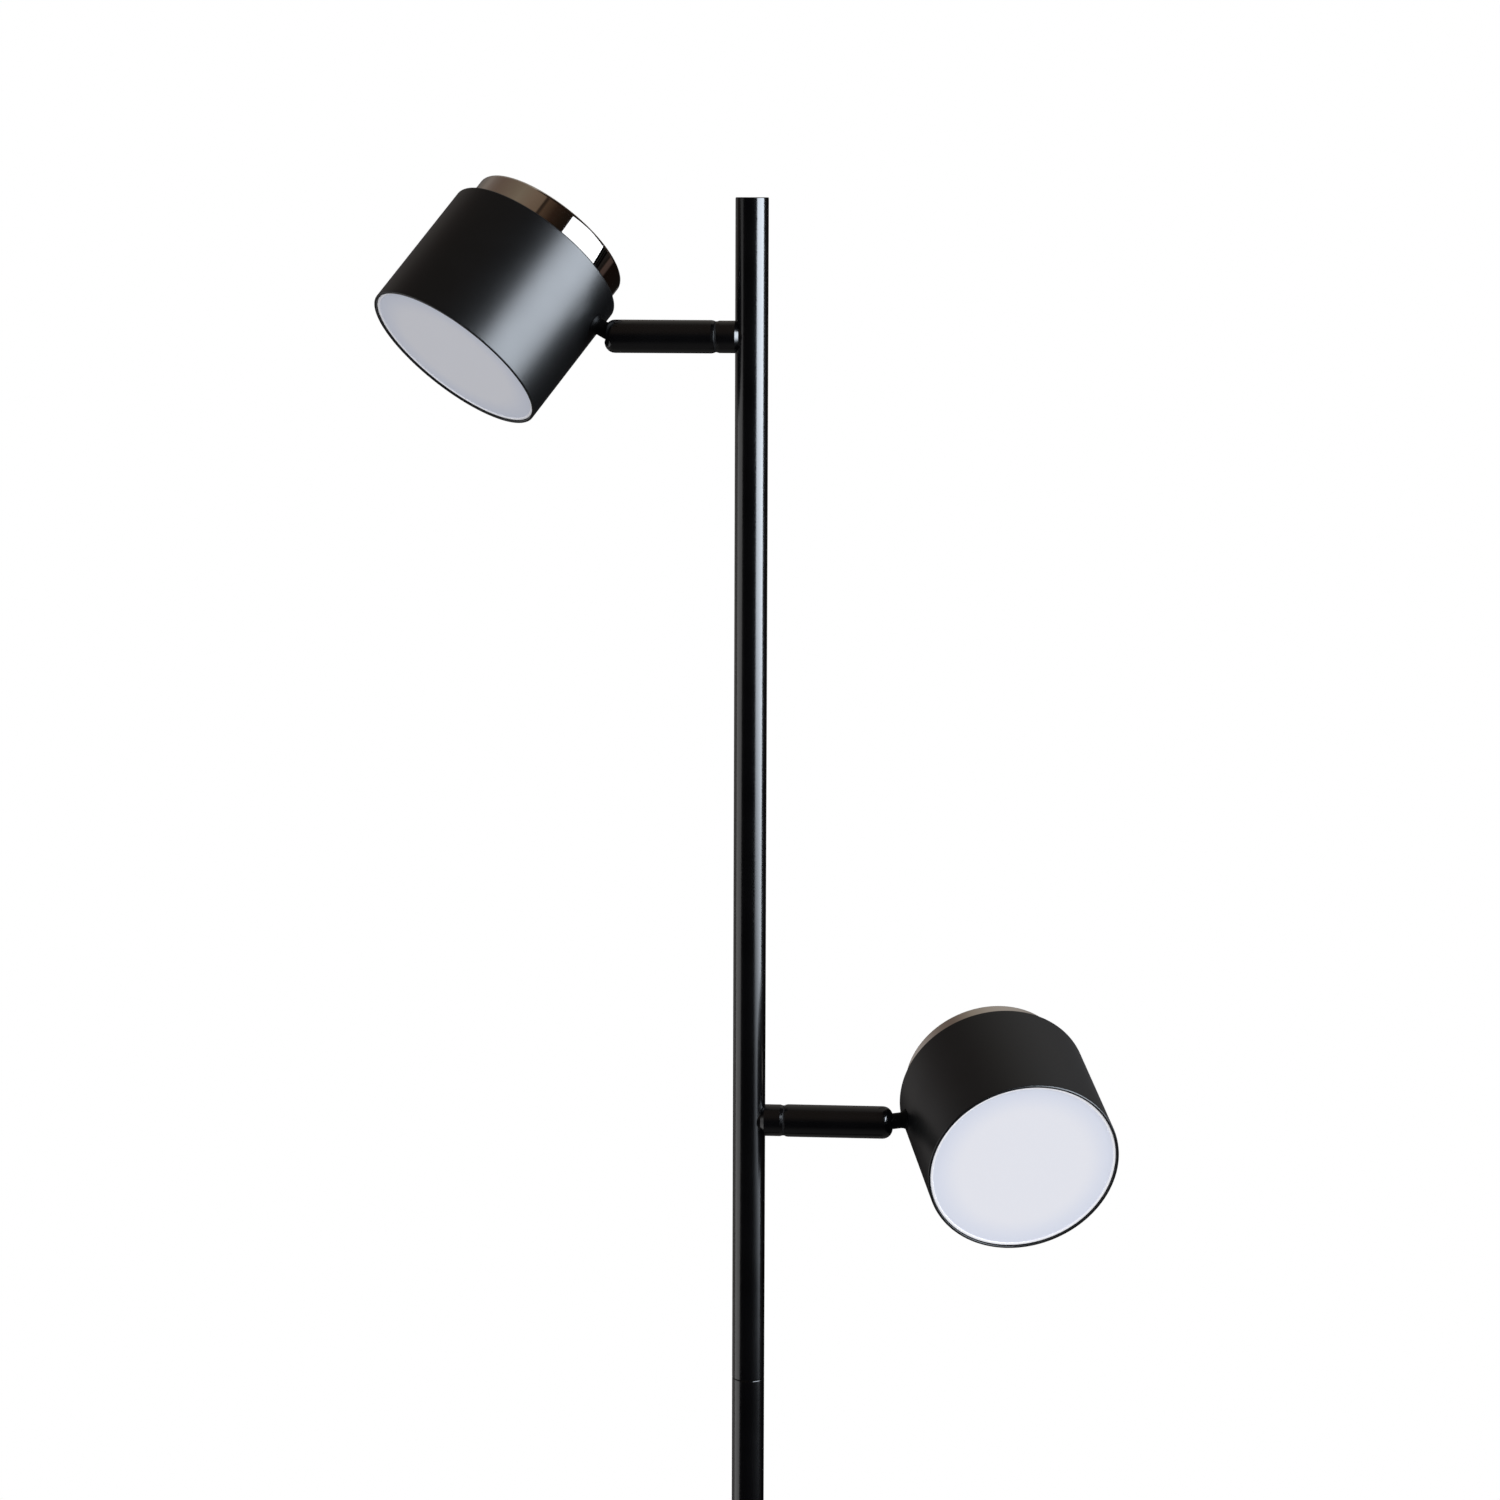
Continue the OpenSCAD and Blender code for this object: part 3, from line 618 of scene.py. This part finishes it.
# %% Make both arms
WASHER_END = COLLAR_END + 0.8
ARM_START = WASHER_END + 0.05
ARM_TIP, ARM_R, ARM_BORE_R = PIVOT + 5.3, 8.0, 6.6
BORE_START, BORE_END = ARM_START + 2.5, PIVOT - 6.05
ARM_HOLE_R, WIRE_HOLE_R = 4.05, 1.79
PIN_R, PIN_START, PIN_END, FLUSH_R = 1.5, 2.15, 8.5, 7.8
for side, (collar_frame, arm_frame, *_) in FRAMES.items():
    out = collar_frame @ ALONG_X
    collar = turned("saddle_collar_" + side, [
        (STUD_HOLE_R, 2, 0), (6.8, 2, 0), (6.8, 6.0, 0.3), (7.8, 7.8, 0.5),
        (7.8, 15.5, 0.4), (7.35, COLLAR_END, 0.12),
        (STUD_HOLE_R, COLLAR_END, 0)], out)
    carve(collar, rod(POLE_R + 0.01, -20, 20, collar_frame))
    dress(crisp(collar), "stand", tube_paint, "black_paint", "collar_" + side)

    ring = turned("turning_washer_" + side, [
        (STUD_HOLE_R, COLLAR_END, 0), (7.45, COLLAR_END, 0.12),
        (7.45, WASHER_END, 0.12), (STUD_HOLE_R, WASHER_END, 0)], out)
    dress(crisp(ring), "stand", black_plastic, "black_plastic",
          "seam_washer_" + side)

    out = arm_frame @ ALONG_X
    arm = turned("slotted_arm_" + side, [
        (ARM_HOLE_R, ARM_START, 0), (7.7, ARM_START, 0.12), (ARM_R, 19.3, 0.4),
        (ARM_R, 50, 0), (ARM_R, 58, 0), (ARM_R, 62, 0), (ARM_R, ARM_TIP, 5.0),
        (WIRE_HOLE_R, ARM_TIP, 0), (WIRE_HOLE_R, BORE_END, 0),
        (ARM_BORE_R, BORE_END, 0), (ARM_BORE_R, BORE_START, 0),
        (ARM_HOLE_R, BORE_START, 0)], out)
    pivot = arm_frame @ shift(PIVOT, 0, 0)
    carve(arm, slot_cutter(pivot))
    carve(arm, rod(PIN_R + 0.015, -16, 16, pivot @ ALONG_Y))
    dress(crisp(arm, 25), side + "_arm", tube_paint, "black_paint",
          "arm_" + side)

    for face, start, end in (("a", -PIN_END, -PIN_START),
                             ("b", PIN_START, PIN_END)):
        pin = turned("pivot_pin_%s_%s" % (side, face), [
            (0, start, 0), (PIN_R, start, 0.1), (PIN_R, end, 0.1),
            (0, end, 0)], pivot @ ALONG_Y, 48)
        carve(pin, rod(FLUSH_R, 40, 90, out), "INTERSECT")
        front = (face == "b") == (side == "upper")
        dress(crisp(pin), side + "_arm", tube_paint, "black_paint",
              "pivot_pin_%s_%s" % ("front" if front else "back", side))

# %% [markdown]
# ## Necks
#
# The neck is one small turning: an eye that tilts on the pins, a rod, and a
# foot that flares in a hollow curve until it meets the drum. The last rings
# of the foot are pushed onto the drum's own round surface, so no gap or
# overlap shows from any side.

# %% Make both necks
NECK_R, FLARE_R, FLARE_START, FOOT_RING = 3.9, 3.75, 9.0, 13
TAIL_R, TAIL_END = 3.0, 18.64
EYE_R, EYE_HALF, EYE_HOLE_R = 4.0, 3.8, 1.55


def onto_drum(point):
    """Moves the foot's last rings onto the drum's round side."""
    if abs(point.z - FOOT_RING) < 0.1:
        reach = NECK_REACH + SHELL_R - math.sqrt(
            (SHELL_R + 0.03) ** 2 - point.y ** 2)
        return Vector((point.x, point.y, reach))
    return point


flare = [(NECK_R + FLARE_R - math.sqrt(FLARE_R ** 2 - step ** 2),
          FLARE_START + step, 0)
         for step in (0.001, 0.6, 1.2, 1.7, 2.2, 2.6, 3.0)]
for side, (_, _, knuckle_frame, _) in FRAMES.items():
    out = knuckle_frame @ ALONG_X
    neck = turned("flared_neck_" + side, [
        (0, 2.0, 0), (NECK_R, 2.0, 0), *flare, (5.4, FOOT_RING, 0),
        (TAIL_R, FOOT_RING, 0), (TAIL_R, TAIL_END, 0.3), (0, TAIL_END, 0)],
        out, 96, onto_drum)
    eye = turned("cutter", [
        (0, -2, 0), (EYE_HOLE_R, -2, 0), (EYE_HOLE_R, -EYE_HALF, 0),
        (EYE_R, -EYE_HALF, 0.4), (EYE_R, EYE_HALF, 0.4),
        (EYE_HOLE_R, EYE_HALF, 0), (EYE_HOLE_R, 2, 0), (0, 2, 0)],
        knuckle_frame @ ALONG_Y, 96)
    carve(neck, eye, "UNION")
    carve(neck, rod(1.6, -10, 30, out))
    dress(crisp(neck, 40), side + "_head", neck_paint, "black_paint",
          "neck_" + side)

# %% [markdown]
# ## Drums, caps and diffusers
#
# The drum is a spun shell with a thin front rim; the cap behind it is a drawn
# cup, a little narrower, with a small round corner that draws the thin dark
# edge line round its back. The diffuser sits a hair behind the rim. Its face
# is set back from a low raised lip, and the fine light ring inside the rim is
# a painted highlight: the diffuser's colour turns white over the lip.

# %% Make both spotlights
DRUM_BACK, DRUM_INNER_R, DRUM_INNER_BACK = 68, SHELL_R - 1.25, 66
CAP_R, CAP_BACK, CAP_WALL, CAP_RIM_R = 42.1, 81.4, 1.0, 45.3
LIP_R, LIP_FRONT, FACE_FRONT = 44.85, 1.0, 1.3
DISC_R, DISC_BACK = 45.95, 3.5
for side, (_, _, knuckle_frame, lamp_frame) in FRAMES.items():
    drum = turned("spun_drum_" + side, [
        (DRUM_INNER_R, 0, 0.3), (SHELL_R, 0, 0.75), (SHELL_R, 20, 0),
        (SHELL_R, 40, 0), (SHELL_R, DRUM_BACK, 0.9),
        (CAP_R + 0.15, DRUM_BACK, 0.2), (CAP_R + 0.15, DRUM_INNER_BACK, 0),
        (DRUM_INNER_R, DRUM_INNER_BACK, 0)], lamp_frame, 256)
    carve(drum, rod(TAIL_R + 0.03, 0, 20, knuckle_frame @ ALONG_X))
    dress(crisp(drum), side + "_head", drum_paint, "black_paint",
          "shell_" + side)

    cap = turned("bright_cup_" + side, [
        (0, CAP_BACK, 0), (20, CAP_BACK, 0), (CAP_R, CAP_BACK, 1.8),
        (CAP_R, DRUM_INNER_BACK, 0), (CAP_RIM_R, DRUM_INNER_BACK, 0),
        (CAP_RIM_R, DRUM_INNER_BACK - CAP_WALL, 0),
        (CAP_R - CAP_WALL, DRUM_INNER_BACK - CAP_WALL, 0),
        (CAP_R - CAP_WALL, CAP_BACK - CAP_WALL, 0.8),
        (0, CAP_BACK - CAP_WALL, 0)], lamp_frame, 256)
    dress(crisp(cap), side + "_head", black_nickel, "bright_cap",
          "rear_cap_" + side)

    lens_disc = turned("opal_disc_" + side, [
        (0, FACE_FRONT, 0), (30, FACE_FRONT, 0),
        (LIP_R - 0.35, FACE_FRONT, 0.2), (LIP_R, LIP_FRONT, 0.2),
        (DISC_R, LIP_FRONT, 0.3), (DISC_R, DISC_BACK, 0.2),
        (0, DISC_BACK, 0)], lamp_frame, 256)
    # The second colour is the painted shade at the diffuser's edge.
    milky = opal("opal_acrylic_" + side, (0.845, 0.850, 0.875),
                 (0.75, 0.78, 0.855), lamp_frame)
    dress(crisp(lens_disc), side + "_head", milky, "opal_plastic",
          "diffuser_" + side)

# %% [markdown]
# ## Inner pieces
#
# Studs, nuts, the cast weight and the parts inside the spotlights already have
# their right shape in the CAD, so they keep it and only take a finish. The
# record lists which slot each node takes its finish from.

# %% Finish what the CAD already shapes
BY_SLOT = {"zinc_steel": zinc, "raw_iron": iron, "bare_aluminium": aluminium,
           "white_plastic": white_plastic, "white_paint": white_paint,
           "black_paint": tube_paint, "black_rubber": rubber,
           "black_plastic": black_plastic, "bright_cap": black_nickel}
for part in frame["record"]["subparts"]:
    node = frame["nodes"][part["node"]]
    node.data.materials.clear()
    node.data.materials.append(BY_SLOT.get(part["material_slot"], white_paint))

# %% [markdown]
# ## Floor and room
#
# The page is white, the floor pale. The floor fades to the page's white with
# its distance from the lamp, so no edge shows. For reflections the room
# matters more than the lamps: black gloss and bright nickel show only what
# stands round them. The world therefore answers three kinds of ray: white to
# the camera, an even soft sky to matt surfaces, and to mirrors a room.
#
# The room could be a picture wrapped round the scene, but three belts of wall
# say it in a few numbers: one at the lamp's height, one above and one below,
# each a ramp of tones round the compass, faded into one another by height. A
# warm pale wall stands behind the lamp and to its left, and the right and the
# front are dark.

# %% Pale floor
FLOOR_R = 3400
floor = turned("studio_floor", [(0, -6, 0), (FLOOR_R, -6, 0),
                                (FLOOR_R, -0.02, 2), (0, -0.02, 0)], steps=128)
page, recipe, place = material("pale_floor")
distance = recipe.add("ShaderNodeVectorMath", {0: place}, output=1,
                      operation="LENGTH")
speckle = noise(recipe, place, 6, 4)
matt = recipe.add("ShaderNodeBsdfDiffuse", {
    "Color": recipe.blend(speckle, (0.80, 0.80, 0.80, 1),
                          (0.84, 0.84, 0.84, 1))})
glow = recipe.add("ShaderNodeEmission", {"Color": (1, 1, 1, 1)})
mixed = recipe.add("ShaderNodeMixShader", {
    0: recipe.fade(distance, 0.5, 1.9), 1: matt, 2: glow})
recipe.add("ShaderNodeOutputMaterial", {"Surface": mixed})
floor.data.materials.append(page)
floor.visible_diffuse = floor.visible_glossy = False
print("floor out to", FLOOR_R * MM, "m")

# %% The room that reflections see
world = bpy.data.worlds.new("studio_room")
scene.world = world
world.use_nodes = True
room = Recipe(world.node_tree)
direction = room.add("ShaderNodeTexCoord", output="Generated")
left = math.radians(LOOK_LEFT)
TO_CAMERA = (math.sin(left), -math.cos(left), 0)
TO_RIGHT = (math.cos(left), math.sin(left), 0)
forward, sideways = (
    room.add("ShaderNodeVectorMath", {0: direction, 1: axis}, output=1,
             operation="DOT_PRODUCT") for axis in (TO_CAMERA, TO_RIGHT))
height = room.add("ShaderNodeSeparateXYZ", {0: direction}, output=2)
azimuth = sideways.sum("ARCTAN2", sideways, forward)


def round_the_room(*stops):
    """Colours by azimuth in degrees, counted to the right of the camera."""
    return room.add("ShaderNodeValToRGB",
                    {"Fac": azimuth * (1 / math.tau) + 0.5},
                    stops=[(angle / 360 + 0.5, tone) for angle, tone in stops])


upper_walls = round_the_room(
    (-180, (0.40, 0.37, 0.335)), (-160, (0.32, 0.29, 0.25)),
    (-138, (0.175, 0.14, 0.12)), (-120, (0.165, 0.125, 0.10)),
    (-60, (0.225, 0.19, 0.145)), (-22, (0.205, 0.155, 0.115)),
    (-1, (0.17, 0.125, 0.09)), (1, (0.035, 0.024, 0.017)),
    (4, (0.035, 0.024, 0.017)), (7, (0.090, 0.058, 0.038)),
    (15, (0.060, 0.038, 0.025)), (20, (0.035, 0.020, 0.013)),
    (33, (0.016, 0.010, 0.006)), (138, (0.03, 0.02, 0.016)),
    (148, (0.48, 0.46, 0.44)), (180, (0.40, 0.37, 0.335)))
level_walls = round_the_room(
    (-180, (0.085, 0.08, 0.08)), (-152, (0.12, 0.11, 0.11)),
    (-140, (0.42, 0.40, 0.39)), (-126, (0.42, 0.40, 0.39)),
    (-115, (0.10, 0.09, 0.085)), (-55, (0.03, 0.027, 0.025)),
    (-45, (0.014, 0.012, 0.012)), (95, (0.010, 0.008, 0.007)),
    (99, (0.010, 0.008, 0.007)), (101, (0.085, 0.058, 0.050)),
    (108, (0.070, 0.050, 0.045)), (111, (0.008, 0.005, 0.004)),
    (148, (0.008, 0.005, 0.004)), (154, (0.17, 0.165, 0.165)),
    (165, (0.12, 0.115, 0.115)), (180, (0.085, 0.08, 0.08)))
lower_walls = round_the_room(
    (-180, (0.008, 0.007, 0.007)), (-148, (0.010, 0.009, 0.009)),
    (-140, (0.42, 0.40, 0.39)), (-126, (0.42, 0.40, 0.39)),
    (-115, (0.10, 0.09, 0.085)), (-55, (0.03, 0.027, 0.025)),
    (-45, (0.020, 0.018, 0.018)), (95, (0.020, 0.018, 0.017)),
    (99, (0.010, 0.008, 0.007)), (101, (0.085, 0.058, 0.050)),
    (108, (0.070, 0.050, 0.045)), (111, (0.008, 0.005, 0.004)),
    (180, (0.008, 0.007, 0.007)))
walls = room.blend(room.fade(height, 0.0, 0.75), level_walls, upper_walls)
walls = room.blend(room.fade(height, -0.13, -0.22), walls, lower_walls)
walls = room.blend(room.fade(height, -0.45, -0.90), walls,
                   (0.16, 0.155, 0.15, 1))

# %% The sky that matt surfaces see, and who sees what
FROM_FRONT = Vector((0.35, -0.8, 0.5)).normalized()
towards = room.add("ShaderNodeVectorMath", {0: direction, 1: FROM_FRONT},
                   output=1, operation="DOT_PRODUCT")
level = 0.70 + 0.56 * towards
seen_by_matt = room.add("ShaderNodeCombineColor", {
    "Red": level * 0.97, "Green": level * 0.98, "Blue": level * 1.03})
is_camera, is_glossy = (room.add("ShaderNodeLightPath", output=kind)
                        for kind in ("Is Camera Ray", "Is Glossy Ray"))
colour = room.blend(is_glossy, seen_by_matt, walls)
colour = room.blend(is_camera, colour, (1, 1, 1, 1))
sky = room.add("ShaderNodeBackground", {"Color": colour})
room.add("ShaderNodeOutputWorld", {"Surface": sky})
print("the room has", len(world.node_tree.nodes), "nodes")

# %% [markdown]
# ## Lights
#
# A tall softbox stands at the right, a little in front of the lamp, and its
# cloth glows less towards the floor and the lamp's back. It draws the long
# highlight on the pole and the broad band on the upper drum. Paint gives back
# only a few hundredths of what it sees, so this light has to be strong; the
# nickel gives back more than half, and at that strength the edge of its white
# patch would show steps. Light linking lets a dimmer twin of the softbox light
# the caps alone. A weaker softbox at the left draws the pole's other edge.
# All three are hidden from matt surfaces, which the sky lights already, and
# one overhead light gives those a gentle direction.

# %% Softboxes
def aim_at(box, point):
    """Turns a light's face to a point."""
    aim = Vector(point) - box.location
    box.rotation_mode = "QUATERNION"
    box.rotation_quaternion = aim.to_track_quat("-Z", "Y")


def softbox(name, azimuth, distance, height, width, tall, brightness,
            colour=(1, 1, 1), fades=None, lean=0, matt=False):
    """An area light at an azimuth to the right of the camera, facing in.

    Its cloth fades from one height to another, and lean tips that line. It
    shows either in reflections or, if matt, on matt surfaces only.
    """
    light = bpy.data.lights.new(name, "AREA")
    light.shape, light.size, light.size_y = "RECTANGLE", width, tall
    light.energy = brightness * math.pi * width * tall
    light.color = colour
    box = bpy.data.objects.new(name, light)
    scene.collection.objects.link(box)
    around = math.radians(azimuth + LOOK_LEFT - 90)
    box.location = (distance * math.cos(around), distance * math.sin(around),
                    height)
    aim_at(box, (0, 0, height))
    box.visible_camera = False
    box.visible_diffuse, box.visible_glossy = matt, not matt
    if fades:
        light.use_nodes = True
        cloth = Recipe(light.node_tree)
        where = cloth.add("ShaderNodeNewGeometry", output="Position")
        along = cloth.add("ShaderNodeVectorMath", {0: where, 1: (0, lean, 1)},
                          output=1, operation="DOT_PRODUCT")
        lit = cloth.add("ShaderNodeEmission",
                        {"Strength": cloth.fade(along, *fades)})
        cloth.add("ShaderNodeOutputLight", {"Surface": lit})
    print("light", name, "at", [round(v, 2) for v in box.location])
    return box


# %% Light the caps apart from the rest
def answer_only(box, pieces, state):
    """Links a light to the pieces, or to everything but them."""
    chosen = bpy.data.collections.new(box.name + "_pieces")
    for piece in pieces:
        chosen.objects.link(piece)
    for member in chosen.collection_objects:
        member.light_linking.link_state = state
    box.light_linking.receiver_collection = chosen


caps = [bpy.data.objects["bright_cup_" + side] for side in FRAMES]
for name, azimuth, width, brightness, state in (
        ("right_softbox", 62.2, 1.40, 27.0, "EXCLUDE"),
        ("right_softbox_for_caps", 63.7, 1.48, 2.1, "INCLUDE")):
    box = softbox(name, azimuth, 1.4, 1.58, width, 1.96, brightness,
                  colour=(0.82, 0.90, 1.0), fades=(0.66, 1.58), lean=0.25)
    answer_only(box, caps, state)

softbox("left_softbox", -88, 1.4, 1.0, 1.2, 1.9, 2.0, fades=(1.95, 1.5))
overhead = softbox("overhead_light", 20, 0.9, 3.2, 1.6, 1.6, 0.35, matt=True)
aim_at(overhead, (0, 0, 0.8))
